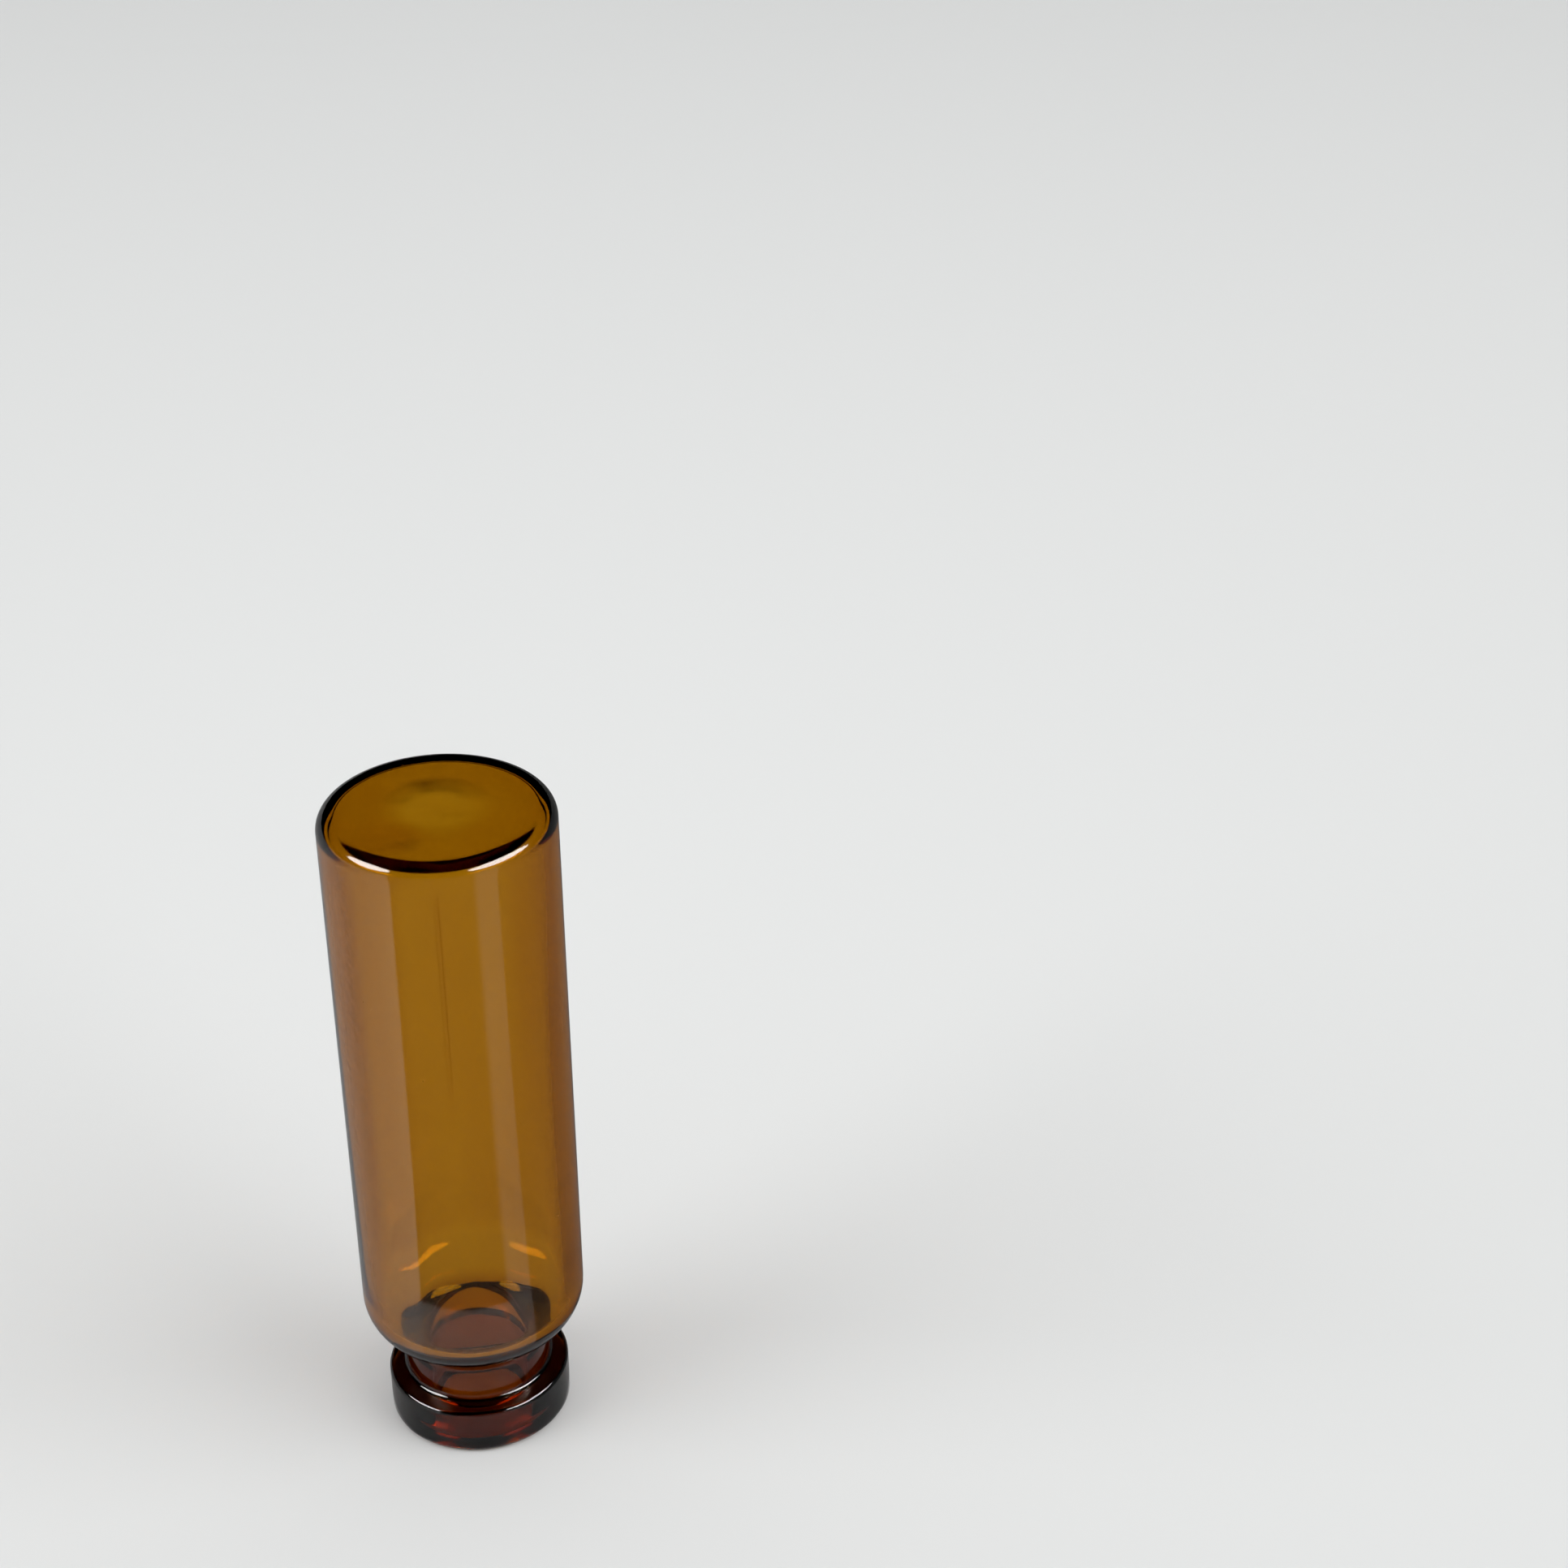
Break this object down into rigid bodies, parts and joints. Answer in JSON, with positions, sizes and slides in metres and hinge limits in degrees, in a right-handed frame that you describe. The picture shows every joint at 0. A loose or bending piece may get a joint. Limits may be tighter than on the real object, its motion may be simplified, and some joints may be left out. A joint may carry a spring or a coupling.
{
  "type": "glass crimp-neck sample vial",
  "caption": "Amber glass sample vial drawn from tube, with a pushed-in base, round shoulder, short neck and a crimp-cap crown; it stands mouth down.",
  "frame": {"origin": "centre of the lip, on the plane of the lip that the vial stands on as pictured", "axes": "+Z along the vial's axis, from the mouth at the bottom to the closed base at the top; X and Y are free, because the vial is a body of revolution"},
  "size_m": [0.0158, 0.0158, 0.05],
  "materials": {
    "amber_glass": "clear transparent amber glass, smooth and fire-polished, glossy"
  },
  "bodies": {
    "root": {"vial": "amber_glass"}
  },
  "joints": []
}
